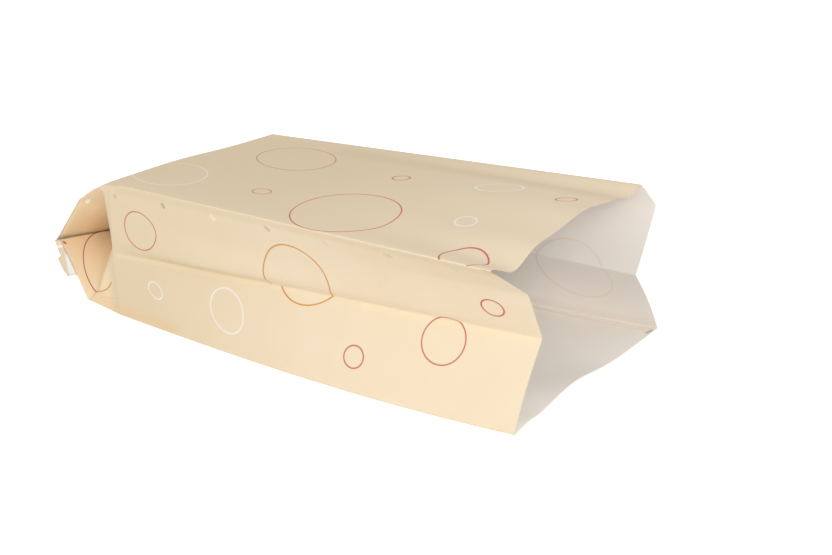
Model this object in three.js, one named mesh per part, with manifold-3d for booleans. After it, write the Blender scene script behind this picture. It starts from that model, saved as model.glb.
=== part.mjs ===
// A side-gusset paper bag, empty and standing open on its wide back panel. X runs from the folded end to the mouth,
// Y runs across the wide panels and Z is up. Millimetres.
import * as THREE from "three";
import Module from "manifold-3d";

const wasm = await Module();
wasm.setup();

// Driving dimensions of the sheet.
const panelWidth = 120; // width of each wide panel
const gussetHalf = 40; // width of half a side gusset, from a long crease to its centre fold
const bodyLength = 230; // length of the open body, from the end hinge to the mouth
const endStrip = 50; // length of the strip that closes the end, from hinge to seam
const foldOver = 22; // length of the glued fold-over behind the seam
const wall = 0.36; // thickness of the sheet, with its coating

// How far the sheet stands open.
const endHeight = 1.445 * gussetHalf;
const mouthHeight = 1.76 * gussetHalf;
const mouthShift = 0.1 * panelWidth; // the top panel has slid this far forward at the mouth
const floorBulge = 0.12 * panelWidth; // the bottom front crease stands out this far at the closed end
const gussetFoldIn = 0.082 * panelWidth; // depth of the front centre fold at the mouth
const backFoldIn = 0.185 * panelWidth; // depth of the back centre fold at the mouth
const foldInset = 0.005 * panelWidth; // the centre folds run this much further in along the middle of the bag
const overhang = 0.04 * panelWidth; // the upper half of a side gusset hangs over its centre fold by this much
const topDip = 5.6; // depth of the dip in the top panel, beside its front crease at the mouth
const topRise = 2.8; // height of the wave in the middle of the top panel at the mouth
const topValley = 2.8; // depth of the long valley beside the top back crease
const floorRise = 4.3; // the bottom panel lifts this far off the floor at the mouth
const floorRiseReach = 0.2; // over this share of the body's length
const toothPitch = 1.6; // serrated cut of the mouth
const toothDepth = 0.4;

const v3 = (x, y, z) => new THREE.Vector3(x, y, z);
const mix = (a, b, t) => a.clone().lerp(b, t);
const bump = (x, centre, spread) => Math.exp(-(((x - centre) / spread) ** 2));

// Corners of the closed end. "Front" is -Y and "back" is +Y.
const hinge = {
  topFront: v3(0, 0, endHeight),
  topBack: v3(-0.045 * panelWidth, panelWidth - 1, endHeight),
  foldFront: v3(0.025 * gussetHalf, -0.03 * panelWidth, 0.45 * endHeight),
  foldBack: v3(0.025 * gussetHalf, 0.92 * panelWidth, 0.45 * endHeight),
  lowFront: v3(0.3 * gussetHalf, -floorBulge, 0),
  lowBack: v3(0.3 * gussetHalf, panelWidth - 1 - floorBulge, 0),
};
const seamX = -0.88 * endStrip;
const seamHeight = 0.385 * endHeight;
const seamDip = 0.11 * gussetHalf;
const seam = {
  front: v3(seamX, -0.034 * panelWidth, seamHeight),
  back: v3(seamX, 0.957 * panelWidth, seamHeight),
  innerFront: v3(seamX, -0.034 * panelWidth + 0.97 * gussetHalf, seamHeight - seamDip),
  innerBack: v3(seamX, 0.957 * panelWidth - 0.97 * gussetHalf, seamHeight - seamDip),
};
// Knees of the end strips' side edges: the top strip falls over past its knee, and the bottom strip rises past it.
const knee = {
  topFront: v3(-0.51 * endStrip, 0, 0.808 * endHeight),
  topBack: v3(-0.54 * endStrip, 0.991 * panelWidth, 0.808 * endHeight),
  lowFront: v3(-0.24 * endStrip, -0.1 * panelWidth, 0.4),
  lowBack: v3(-0.24 * endStrip, 0.89 * panelWidth, 0.4),
};
// Corners of the mouth.
const mouth = {
  topFront: v3(0.976 * bodyLength, -mouthShift, mouthHeight),
  kinkFront: v3(0.9995 * bodyLength, -mouthShift + 0.32 * gussetHalf, 0.827 * mouthHeight),
  foldFront: v3(1.019 * bodyLength, gussetFoldIn, 0.542 * mouthHeight),
  lowFront: v3(0.999 * bodyLength, -0.007 * panelWidth, 0),
  lowBack: v3(1.013 * bodyLength, 1.01 * panelWidth, 0),
  foldBack: v3(1.003 * bodyLength, panelWidth - backFoldIn, 0.479 * mouthHeight),
  kinkBack: v3(1.018 * bodyLength, panelWidth - mouthShift + 0.6, 0.903 * mouthHeight),
  topBack: v3(0.982 * bodyLength, panelWidth - mouthShift - 0.7, 1.027 * mouthHeight),
};

// A crease of the body at share u of its length, 0 at the hinge and 1 at the mouth.
function crease(name, u) {
  if (name === "kinkFront" || name === "kinkBack") {
    const side = name === "kinkFront" ? "Front" : "Back";
    const start = mix(hinge["top" + side], hinge["fold" + side], 0.05);
    return mix(start, mouth[name], u);
  }
  const point = mix(hinge[name], mouth[name], u);
  if (name === "lowFront" || name === "lowBack") point.y += floorBulge * (u ** 3 - u);
  if (name === "foldFront") point.y += foldInset * Math.sin(Math.PI * u) ** 0.8;
  if (name === "foldBack") point.y -= foldInset * Math.sin(Math.PI * u) ** 0.8;
  return point;
}

// Height added to the top panel: a dip and a wave at the mouth, a valley beside the back crease and a slight crown.
function topWave(u, share) {
  const atMouth = topRise * bump(share, 0.57, 0.14) * u ** 3 - topDip * bump(share, 0.14, 0.085) * u ** 2.5;
  const valley = topValley * bump(share, 0.905, 0.07) * Math.max(0, (u - 0.3) / 0.7) ** 1.2;
  const edge = Math.min(1, share / 0.05, (1 - share) / 0.05);
  return (atMouth - valley) * edge + 1.2 * 4 * u * (1 - u) * Math.sin(Math.PI * share);
}

// Height added to the bottom panel close to the mouth.
const floorWave = (u, share) =>
  floorRise * bump(share, 0.36, 0.2) * Math.max(0, (u - 1 + floorRiseReach) / floorRiseReach) ** 2;

// One cross-section of the body, as a loop of points that starts at the top front crease and runs to the back.
function section(u) {
  const at = (name) => crease(name, u);
  const loop = [];
  const run = (from, to, count, shape) => {
    for (let i = 0; i < count; i++) {
      const share = i / count;
      const point = mix(from, to, share);
      if (shape) shape(point, share);
      loop.push(point);
    }
  };
  const billow = (amount) => (point, share) => {
    point.y += amount * Math.sin(Math.PI * share);
  };
  const belly = 4 * u * (1 - u);
  const steady = 1.5 * Math.min(1, 6 * u);
  // The upper half of a gusset swells out just above the centre fold.
  const hang = (sign, atFold) => (point, share) => {
    const fromFold = atFold === 0 ? share : 1 - share;
    const swell = overhang * Math.sin(Math.PI * u) ** 0.8 * bump(fromFold, 0.26, 0.22) * Math.min(1, fromFold / 0.1);
    point.y += sign * (swell + 0.5 * belly * Math.sin(Math.PI * share));
  };
  run(at("topFront"), at("topBack"), 20, (p, s) => {
    p.z += topWave(u, s);
  });
  run(at("topBack"), at("kinkBack"), 3, billow(0.6 * belly));
  run(at("kinkBack"), at("foldBack"), 6, hang(1, 1));
  run(at("foldBack"), at("lowBack"), 6, billow(steady));
  run(at("lowBack"), at("lowFront"), 16, (p, s) => {
    p.z += floorWave(u, 1 - s);
  });
  run(at("lowFront"), at("foldFront"), 6, billow(-steady));
  run(at("foldFront"), at("kinkFront"), 6, hang(-1, 0));
  run(at("kinkFront"), at("topFront"), 3, billow(-0.6 * belly));
  return loop;
}

// Unit normals of a grid of points, found from the neighbours along and round it.
function gridNormals(rows, closed) {
  return rows.map((row, i) =>
    row.map((_, j) => {
      const last = row.length - 1;
      const before = closed ? row[(j + last) % row.length] : row[Math.max(0, j - 1)];
      const after = closed ? row[(j + 1) % row.length] : row[Math.min(last, j + 1)];
      const along = rows[Math.min(rows.length - 1, i + 1)][j].clone().sub(rows[Math.max(0, i - 1)][j]);
      const one = along.clone().cross(row[j].clone().sub(before)).normalize();
      const two = along.clone().cross(after.clone().sub(row[j])).normalize();
      const sum = one.add(two).normalize();
      return sum;
    }),
  );
}

// A solid from a list of points and a list of triangles.
function solidFrom(points, triangles) {
  const vertProperties = new Float32Array(points.flatMap((p) => [p.x, p.y, p.z]));
  const solid = new wasm.Manifold(new wasm.Mesh({ numProp: 3, vertProperties, triVerts: new Uint32Array(triangles) }));
  if (solid.volume() >= 0) return solid;
  const turned = [];
  for (let i = 0; i < triangles.length; i += 3) turned.push(triangles[i], triangles[i + 2], triangles[i + 1]);
  return new wasm.Manifold(new wasm.Mesh({ numProp: 3, vertProperties, triVerts: new Uint32Array(turned) }));
}

// The tube of the body: two skins, a plain rim at the hinge and a serrated rim at the mouth.
function bodyTube(stations) {
  const rows = [];
  for (let i = 0; i <= stations; i++) rows.push(section(i / stations));
  const normals = gridNormals(rows, true);
  const count = rows[0].length;
  const points = [];
  const triangles = [];
  const place = (sign) =>
    rows.map((row, i) =>
      row.map((p, j) => {
        const before = row[(j + count - 1) % count];
        const after = row[(j + 1) % count];
        const turn = p.clone().sub(before).angleTo(after.clone().sub(p));
        const reach = (wall / 2) * Math.min(3, 1 / Math.cos(turn / 2));
        points.push(p.clone().addScaledVector(normals[i][j], sign * reach));
        return points.length - 1;
      }),
    );
  const outer = place(1);
  const inner = place(-1);
  const quad = (a, b, c, d) => triangles.push(a, b, c, a, c, d);
  for (let j = 0; j < count; j++) {
    const k = (j + 1) % count;
    for (let i = 0; i + 1 < stations; i++) {
      quad(outer[i][j], outer[i + 1][j], outer[i + 1][k], outer[i][k]);
      quad(inner[i][j], inner[i][k], inner[i + 1][k], inner[i + 1][j]);
    }
    quad(outer[0][j], outer[0][k], inner[0][k], inner[0][j]);
  }
  // The last band ends in the serrated rim, with a whole number of teeth on each side of the loop.
  for (let j = 0; j < count; j++) {
    const k = (j + 1) % count;
    const side = points[outer[stations][j]].distanceTo(points[outer[stations][k]]);
    const teeth = Math.max(1, Math.round(side / toothPitch));
    const chain = (skin) => {
      const from = skin[stations][j];
      const to = skin[stations][k];
      const ids = [from];
      for (let n = 1; n < 2 * teeth; n++) {
        const p = mix(points[from], points[to], n / (2 * teeth));
        p.x += n % 2 ? toothDepth : 0;
        points.push(p);
        ids.push(points.length - 1);
      }
      ids.push(to);
      return ids;
    };
    const outTeeth = chain(outer);
    const inTeeth = chain(inner);
    const bandJoin = (ids, rootJ, rootK, turn) => {
      const add = (a, b, c) => triangles.push(...(turn ? [a, c, b] : [a, b, c]));
      for (let n = 0; n < 2 * teeth; n++) add(n < teeth ? rootJ : rootK, ids[n], ids[n + 1]);
      add(rootJ, ids[teeth], rootK);
    };
    bandJoin(outTeeth, outer[stations - 1][j], outer[stations - 1][k], false);
    bandJoin(inTeeth, inner[stations - 1][j], inner[stations - 1][k], true);
    for (let n = 0; n < 2 * teeth; n++) quad(outTeeth[n], inTeeth[n], inTeeth[n + 1], outTeeth[n + 1]);
  }
  return solidFrom(points, triangles);
}

// A sheet of constant thickness about a grid of points.
function sheetFrom(rows, thickness) {
  const normals = gridNormals(rows, false);
  const points = [];
  const triangles = [];
  const width = rows[0].length;
  const skin = (sign) => {
    const first = points.length;
    rows.forEach((row, i) =>
      row.forEach((p, j) => points.push(p.clone().addScaledVector(normals[i][j], (sign * thickness) / 2))),
    );
    return (i, j) => first + i * width + j;
  };
  const up = skin(1);
  const down = skin(-1);
  const quad = (a, b, c, d) => triangles.push(a, b, c, a, c, d);
  for (let i = 0; i + 1 < rows.length; i++) {
    for (let j = 0; j + 1 < width; j++) {
      quad(up(i, j), up(i + 1, j), up(i + 1, j + 1), up(i, j + 1));
      quad(down(i, j), down(i, j + 1), down(i + 1, j + 1), down(i + 1, j));
    }
    quad(up(i, 0), down(i, 0), down(i + 1, 0), up(i + 1, 0));
    quad(up(i, width - 1), up(i + 1, width - 1), down(i + 1, width - 1), down(i, width - 1));
  }
  for (let j = 0; j + 1 < width; j++) {
    const last = rows.length - 1;
    quad(up(0, j), up(0, j + 1), down(0, j + 1), down(0, j));
    quad(up(last, j), down(last, j), down(last, j + 1), up(last, j + 1));
  }
  return solidFrom(points, triangles);
}

// A rounded fold: a six-sided rod along a line of points.
function foldRod(line, radius) {
  const sides = 6;
  const points = [];
  const triangles = [];
  line.forEach((p, i) => {
    const along = line[Math.min(line.length - 1, i + 1)].clone().sub(line[Math.max(0, i - 1)]).normalize();
    const side = (Math.abs(along.z) < 0.9 ? v3(0, 0, 1) : v3(0, 1, 0)).cross(along).normalize();
    const top = along.clone().cross(side);
    for (let n = 0; n < sides; n++) {
      const angle = (2 * Math.PI * n) / sides;
      const q = p.clone().addScaledVector(side, radius * Math.cos(angle));
      points.push(q.addScaledVector(top, radius * Math.sin(angle)));
    }
  });
  for (let i = 0; i + 1 < line.length; i++) {
    for (let n = 0; n < sides; n++) {
      const m = (n + 1) % sides;
      const base = i * sides;
      triangles.push(base + n, base + m, base + sides + m, base + n, base + sides + m, base + sides + n);
    }
  }
  const last = (line.length - 1) * sides;
  for (let n = 1; n + 1 < sides; n++) {
    triangles.push(0, n + 1, n);
    triangles.push(last, last + n, last + n + 1);
  }
  return solidFrom(points, triangles);
}

// Side edge of the closing strips at share t from the hinge to the seam, straight to its knee and straight on.
function stripEdge(level, side, t) {
  const start = hinge[level + side];
  const bend = knee[level + side];
  const end = seam[side.toLowerCase()];
  const first = start.distanceTo(bend);
  const turn = first / (first + bend.distanceTo(end));
  return t < turn ? mix(start, bend, t / turn) : mix(bend, end, (t - turn) / (1 - turn));
}
const gussetDiagonal = (level, side, t) => mix(hinge[level + side], seam["inner" + side], t);
const gussetCentre = (side, t) => mix(hinge["fold" + side], seam["inner" + side], t);

const shares = (count, from = 0) => Array.from({ length: count + 1 }, (_, i) => from + ((1 - from) * i) / count);
const across = (a, b, count) => shares(count).map((s) => mix(a, b, s));

// One closing strip, from side to side. Away from its edges it sinks to the seam's own dip.
function closingStrip(level) {
  const rows = shares(8).map((t) => {
    const front = stripEdge(level, "Front", t);
    const back = stripEdge(level, "Back", t);
    return shares(12).map((s) => {
      const point = mix(front, back, s);
      const inward = Math.min(1, Math.min(s, 1 - s) / (gussetHalf / panelWidth));
      point.z = Math.max(point.z - seamDip * t * inward, 0.02);
      return point;
    });
  });
  return sheetFrom(rows, wall);
}

// The folded-in side of the end: an outer and an inner triangle above the centre fold, and the same below it.
function tuckedSide(side) {
  const pieces = [];
  const steps = shares(8, 0.06);
  for (const level of ["top", "low"]) {
    const outerRows = steps.map((t) => across(stripEdge(level, side, t), gussetDiagonal(level, side, t), 3));
    const innerRows = shares(8).slice(0, -1).map((t) => across(gussetDiagonal(level, side, t), gussetCentre(side, t), 3));
    pieces.push(sheetFrom(outerRows, wall), sheetFrom(innerRows, wall));
    pieces.push(foldRod(shares(8).map((t) => stripEdge(level, side, t)), wall / 2));
    pieces.push(foldRod([0, 0.5, 1].map((t) => gussetDiagonal(level, side, t)), wall / 2));
  }
  pieces.push(foldRod([0, 0.5, 1].map((t) => gussetCentre(side, t)), wall / 2));
  pieces.push(foldRod(across(hinge["top" + side], hinge["fold" + side], 4), 0.8 * wall));
  pieces.push(foldRod(across(hinge["fold" + side], mix(hinge["fold" + side], hinge["low" + side], 0.98), 4), 0.8 * wall));
  return pieces;
}

// The fold-over: the glued end of the sheet, turned back beneath the bottom strip. Its front corner stands off.
function foldOverFlap() {
  const reach = foldOver / endStrip;
  const rows = shares(5).map((s) => {
    const t = 1 - reach * s;
    const front = stripEdge("low", "Front", t);
    const back = stripEdge("low", "Back", t);
    return shares(14).map((q) => {
      const point = mix(front, back, q);
      const inward = Math.min(1, Math.min(q, 1 - q) / (gussetHalf / panelWidth));
      const lift = 0.9 * wall + 2.2 * s * bump(q, 0, 0.09);
      point.z -= seamDip * t * inward;
      point.x -= 0.85 * lift;
      point.z = Math.max(point.z - 0.5 * lift, wall / 2);
      return point;
    });
  });
  return sheetFrom(rows, wall * 1.6);
}

const seamLine = [seam.front, seam.innerFront, seam.innerBack, seam.back];
const hingeRods = [
  foldRod(across(hinge.topFront, hinge.topBack, 6), wall / 2),
  foldRod(across(hinge.lowFront, hinge.lowBack, 6), wall / 2),
];
const bag = wasm.Manifold.union([
  bodyTube(14),
  closingStrip("top"),
  closingStrip("low"),
  ...tuckedSide("Front"),
  ...tuckedSide("Back"),
  foldOverFlap(),
  foldRod(seamLine, wall * 1.6),
  ...hingeRods,
]);

// The origin stands below the middle of the bag, on the floor it rests on.
const box = bag.boundingBox();
const centred = bag.simplify(0.01).translate([-(box.min[0] + box.max[0]) / 2, -(box.min[1] + box.max[1]) / 2, -box.min[2]]);
const made = centred.getMesh();
const geometry = new THREE.BufferGeometry();
const positions = new Float32Array(made.numVert * 3);
for (let i = 0; i < made.numVert; i++) {
  positions.set(made.vertProperties.subarray(i * made.numProp, i * made.numProp + 3), i * 3);
}
geometry.setAttribute("position", new THREE.BufferAttribute(positions, 3));
geometry.setIndex(new THREE.BufferAttribute(made.triVerts, 1));
geometry.computeVertexNormals();

const paper = new THREE.MeshStandardMaterial({ color: 0xd8c29e, roughness: 0.85, metalness: 0 });
const mesh = new THREE.Mesh(geometry, paper);
mesh.name = "paper_bag";
const group = new THREE.Group();
group.add(mesh);
export default group;
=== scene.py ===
"""A side-gusset paper bag, lying open on its wide back panel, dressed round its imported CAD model."""
import logging
import math
from dataclasses import dataclass
from enum import Enum
from typing import Sequence

import bpy
import numpy as np
from mathutils import Matrix, Vector


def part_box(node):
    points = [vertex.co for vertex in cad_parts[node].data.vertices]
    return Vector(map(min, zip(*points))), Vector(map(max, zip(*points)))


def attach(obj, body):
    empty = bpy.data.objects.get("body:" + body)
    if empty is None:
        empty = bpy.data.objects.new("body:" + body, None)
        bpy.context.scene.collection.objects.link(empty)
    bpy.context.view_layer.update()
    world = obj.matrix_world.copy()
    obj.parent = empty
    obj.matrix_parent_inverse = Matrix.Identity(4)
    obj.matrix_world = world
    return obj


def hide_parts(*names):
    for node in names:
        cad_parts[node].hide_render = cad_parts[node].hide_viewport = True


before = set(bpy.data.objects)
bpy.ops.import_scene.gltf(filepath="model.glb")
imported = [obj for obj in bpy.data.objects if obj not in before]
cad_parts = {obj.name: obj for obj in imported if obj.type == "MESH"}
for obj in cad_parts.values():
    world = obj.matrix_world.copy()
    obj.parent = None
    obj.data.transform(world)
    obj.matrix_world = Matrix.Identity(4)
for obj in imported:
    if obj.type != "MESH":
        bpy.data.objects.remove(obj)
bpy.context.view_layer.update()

LOG = logging.getLogger("paper_bag")
MM = 0.001
BODY = "root"
NODE = "paper_bag"
SHEET_UV = "sheet"
SPECULAR = 0.1
Colour = tuple[float, float, float, float]
Place = tuple[float, float, float]
Value = float | bpy.types.NodeSocket


class Side(Enum):
    """The two gusseted sides, as the camera sees them."""

    FRONT = "Front"
    BACK = "Back"

    @property
    def inward(self) -> float:
        """Way to the middle of the bag.

        Returns:
            1 or -1 along y.
        """
        return 1.0 if self is Side.FRONT else -1.0


class Level(Enum):
    """The two wide panels, and the crease that each shares with a gusset."""

    TOP = "top"
    LOW = "low"


class Face(Enum):
    """Material slots of the sheet."""

    OUTSIDE = 0
    INSIDE = 1
    CUT = 2


def bump_curve(x: np.ndarray, centre: float, spread: float) -> np.ndarray:
    """A smooth hump.

    Args:
        x: Places along the sheet.
        centre: Where the hump stands.
        spread: Its half width.

    Returns:
        1 at the centre, falling to 0 away from it.
    """
    return np.exp(-(((x - centre) / spread) ** 2))


def mix(a: np.ndarray, b: np.ndarray, share: np.ndarray | float) -> np.ndarray:
    """Point between a and b.

    Args:
        a: Start point or points.
        b: End point or points.
        share: 0 at a and 1 at b, a number or one for each row.

    Returns:
        The point or points between.
    """
    share = np.asarray(share, float)
    if share.ndim:
        share = share[..., None]
    return a + (b - a) * share


def edge_fade(s: np.ndarray, width: float) -> np.ndarray:
    """A rise from both edges of a panel.

    Args:
        s: Places across the panel, from 0 to 1.
        width: Share of the panel over which it rises.

    Returns:
        0 at the edges, and 1 from the width inwards.
    """
    return np.minimum(1, np.minimum(s, 1 - s) / width)


@dataclass(frozen=True)
class Wave:
    """A wave of a wide panel, which grows towards the mouth."""

    height: float
    centre: float
    spread: float
    start: float
    power: float

    def at(self, u: np.ndarray, s: np.ndarray) -> np.ndarray:
        """Height that the wave adds.

        Args:
            u: Shares of the body's length, 0 at the hinge and 1 at the mouth.
            s: Shares of the panel's width, from the front.

        Returns:
            Heights in millimetres.
        """
        grown = np.clip((u - self.start) / (1 - self.start), 0, 1) ** self.power
        return self.height * bump_curve(s, self.centre, self.spread) * grown


@dataclass(frozen=True)
class Kink:
    """Break of an upper gusset half at the mouth: its place across, and how far it stands out and in."""

    peak: float
    along: float
    inward: float
    soft: float = 0.05


@dataclass(frozen=True)
class WallEnd:
    """How a side wall runs on past the hinge: its width there, where it ends, and its lean inwards."""

    across: float
    until: float
    lean: float


LOW_KNEE = 0.41
TOP_WAVES = (Wave(-5.6, 0.14, 0.085, 0, 6), Wave(2.8, 0.57, 0.14, 0, 3), Wave(-2.8, 0.905, 0.07, 0.3, 1.2))
FLOOR_WAVES = (Wave(4.3, 0.36, 0.2, 0.8, 2), Wave(1.2, 0.08, 0.05, 0.8, 2))
KINKS = {Side.FRONT: Kink(0.36, 5.1, 5.0), Side.BACK: Kink(0.22, 6.2, -3.0)}
WALL_ENDS = {Level.TOP: WallEnd(0.58, 0.17, 0.3), Level.LOW: WallEnd(1.0, LOW_KNEE, 0.15)}


@dataclass(frozen=True)
class NetRows:
    """Rows of the sheet's grid: shares of the body from the mouth on, then shares of the end strip."""

    u: np.ndarray
    t: np.ndarray

    def whole(self) -> tuple[np.ndarray, np.ndarray]:
        """Both shares for every row.

        Returns:
            Share of the body, 0 on the end strip, and share of the end strip, 0 on the body.
        """
        u = np.concatenate([self.u, np.zeros(len(self.t))])
        t = np.concatenate([np.zeros(len(self.u)), self.t])
        return u[:, None], t[:, None]


@dataclass
class OpenSheet:
    """The one folded sheet: its cut, in millimetres, and how far it stands open."""

    panel_width: float = 120.0
    gusset_half: float = 40.0
    body_length: float = 230.0
    end_strip: float = 50.0
    fold_over: float = 22.0
    thickness: float = 0.06
    crease_radius: float = 0.45
    end_height: float = 57.8
    mouth_height: float = 70.4
    mouth_shift: float = 12.0
    floor_bulge: float = 14.4
    fold_inset: float = 0.6
    overhang: float = 4.8
    layer_gap: float = 0.1
    floor_gap: float = 0.02
    seam_dip: float = 0.11
    crease_rise: float = 2.2
    crease_rise_least: float = 0.45
    hinge_hump: float = 2.2
    hump_centre: float = 0.32
    hump_spread: float = 0.32
    hump_fade: float = 0.35
    wave_edge: float = 0.05
    top_belly: float = 4.8
    low_belly: float = 1.5
    knee_soft: float = 0.06
    low_corner_shift: tuple[float, float, float] = (3.8, 0.0, 1.7)
    low_corner_reach: float = 5.0
    top_columns: int = 56
    low_columns: int = 48
    kink_columns: tuple[tuple[int, float], ...] = ((10, 12.0), (14, 28.0))
    flap_way: tuple[float, float, float] = (-0.96, 0.0, -0.29)
    flap_shares: tuple[float, ...] = (0, 0.2, 0.44, 0.49, 0.85, 1)
    flap_stands: tuple[float, ...] = (4.4, 5.6, 5.6, 9.2, 9.2, 7.6)
    flap_close: float = 0.45
    flap_corner: float = 0.07
    flap_corner_cut: float = 0.22
    flap_side: int = 6

    def corners(self) -> dict[str, np.ndarray]:
        """Corners of the hinge, the seam and the mouth.

        Returns:
            Name to point, in millimetres from the top front corner of the hinge.
        """
        w, g, l, s = self.panel_width, self.gusset_half, self.body_length, self.end_strip
        eh, mh, shift, bulge = self.end_height, self.mouth_height, self.mouth_shift, self.floor_bulge
        seam_x, seam_z, seam_dip = -0.88 * s, 0.385 * eh, self.seam_dip * g
        seam_front, seam_back = -0.034 * w, 0.957 * w
        table = {
            "hinge_topFront": (0, 0, eh),
            "hinge_topBack": (-0.045 * w, w - 1, eh),
            "hinge_foldFront": (0.025 * g, -0.03 * w, 0.45 * eh),
            "hinge_foldBack": (0.025 * g, 0.92 * w, 0.45 * eh),
            "hinge_lowFront": (0.4 * g, -bulge, 0),
            "hinge_lowBack": (0.4 * g, w - 1 - bulge, 0),
            "seam_Front": (seam_x, seam_front, seam_z),
            "seam_Back": (seam_x, seam_back, seam_z),
            "seam_innerFront": (seam_x, seam_front + 0.97 * g, seam_z - seam_dip),
            "seam_innerBack": (seam_x, seam_back - 0.97 * g, seam_z - seam_dip),
            "knee_topFront": (-0.51 * s, 0, 0.808 * eh),
            "knee_topBack": (-0.54 * s, 0.991 * w, 0.808 * eh),
            "knee_lowFront": (-0.24 * s, -0.1 * w, 0.4),
            "knee_lowBack": (-0.24 * s, 0.89 * w, 0.4),
            "mouth_topFront": (0.976 * l, -shift - 0.36, mh),
            "mouth_kinkFront": (0.9995 * l, -shift + 0.32 * g, 0.827 * mh),
            "mouth_foldFront": (1.019 * l, 0.082 * w, 0.542 * mh),
            "mouth_lowFront": (0.999 * l, -0.007 * w, 0),
            "mouth_lowBack": (1.013 * l, 1.01 * w, 0),
            "mouth_foldBack": (1.003 * l, w - 0.185 * w, 0.479 * mh),
            "mouth_kinkBack": (1.018 * l, w - shift + 0.6, 0.903 * mh),
            "mouth_topBack": (0.982 * l, w - shift - 0.7, 1.027 * mh),
        }
        return {name: np.array(point, float) for name, point in table.items()}

    def body_crease(self, name: str, u: np.ndarray) -> np.ndarray:
        """A long crease of the body.

        Args:
            name: Crease name, such as topFront.
            u: Shares of the body's length, 0 at the hinge and 1 at the mouth.

        Returns:
            One point for each share.
        """
        c = self.corners()
        point = mix(c["hinge_" + name], c["mouth_" + name], u)
        if name.startswith("low"):
            point[:, 1] += self.floor_bulge * (u**3 - u)
        if name == "topFront":
            point[:, 2] += self.crease_rise * (1 - u) * np.minimum(1, self.crease_rise_least + u / 0.1)
        if name.startswith("fold"):
            inward = 1 if name == "foldFront" else -1
            point[:, 1] += inward * self.fold_inset * np.sin(np.pi * u) ** 0.8
        return point

    def gusset_half_at(self, level: Level, side: Side, u: np.ndarray, share: np.ndarray) -> np.ndarray:
        """Half of a side gusset in the body, with its kink, its belly and the bulge that hangs over the fold.

        Args:
            level: Upper or lower half.
            side: Front or back gusset.
            u: Shares of the body's length, one for each row.
            share: Places across the half for each row, 0 at the long crease and 1 at the centre fold.

        Returns:
            Points, rows by columns.
        """
        crease = self.body_crease(level.value + side.value, u)[:, None, :]
        fold = self.body_crease("fold" + side.value, u)[:, None, :]
        points = crease + (fold - crease) * share[..., None]
        row = u[:, None]
        if level is Level.LOW:
            points[..., 1] -= side.inward * self.low_belly * np.minimum(1, row * 6) * np.sin(np.pi * share)
            return points
        kink = KINKS[side]
        rising = np.exp(-share / kink.peak / kink.soft)
        falling = np.exp(-(1 - share) / (1 - kink.peak) / kink.soft)
        tent = np.maximum(-kink.soft * np.log(rising + falling), 0) * edge_fade(share, 0.05)
        points[..., 0] += kink.along * tent * row**8
        points[..., 1] += side.inward * kink.inward * tent * row**4
        across = bump_curve(share, 0.88, 0.22) * np.minimum(1, (1 - share) / 0.06)
        lengthways = np.sin(np.pi * row) ** 0.6 * (0.3 + 0.7 * bump_curve(row, 0.22, 0.2))
        points[..., 1] -= side.inward * self.overhang * lengthways * across
        return points

    def strip_edge(self, level: Level, side: Side, t: np.ndarray) -> np.ndarray:
        """Side edge of a closing strip, which runs straight to its knee and straight on to the seam.

        Args:
            level: Top or low strip.
            side: Front or back edge.
            t: Shares from the hinge, 0, to the seam, 1.

        Returns:
            One point for each share.
        """
        c = self.corners()
        start = c["hinge_" + level.value + side.value]
        knee = c["knee_" + level.value + side.value]
        end = c["seam_" + side.value]
        if level is Level.LOW:
            end = end + np.array(self.low_corner_shift)
        first = np.linalg.norm(knee - start)
        second = np.linalg.norm(end - knee)
        turn = first / (first + second)
        before = mix(start, knee, t / turn)
        after = mix(knee, end, (t - turn) / (1 - turn))
        blend = np.clip((t - turn) / (2 * self.knee_soft) + 0.5, 0, 1)
        blend = (blend * blend * (3 - 2 * blend))[:, None]
        point = before * (1 - blend) + after * blend
        if level is Level.TOP and side is Side.FRONT:
            to_knee = np.clip(t / turn, 0, 1)
            rise = self.crease_rise_least + np.sin(np.pi * to_knee)
            point[:, 2] += self.crease_rise * rise * (1 - to_knee) ** 0.5
        return point

    def panel_wave(self, level: Level, u: np.ndarray, s: np.ndarray) -> np.ndarray:
        """Height added to a wide panel: the waves of the mouth, and on top a hump at the hinge and a belly.

        Args:
            level: Top or bottom.
            u: Shares of the body's length.
            s: Shares of the panel's width, from the front.

        Returns:
            Heights in millimetres.
        """
        if level is Level.LOW:
            return sum(wave.at(u, s) for wave in FLOOR_WAVES) * np.minimum(1, s / 0.03)
        waves = sum(wave.at(u, s) for wave in TOP_WAVES)
        across = bump_curve(s, self.hump_centre, self.hump_spread)
        hump = self.hinge_hump * np.exp(-u / self.hump_fade) * across
        belly = self.top_belly * u * (1 - u) * np.sin(np.pi * s)
        return (waves + hump) * edge_fade(s, self.wave_edge) + belly

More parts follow.
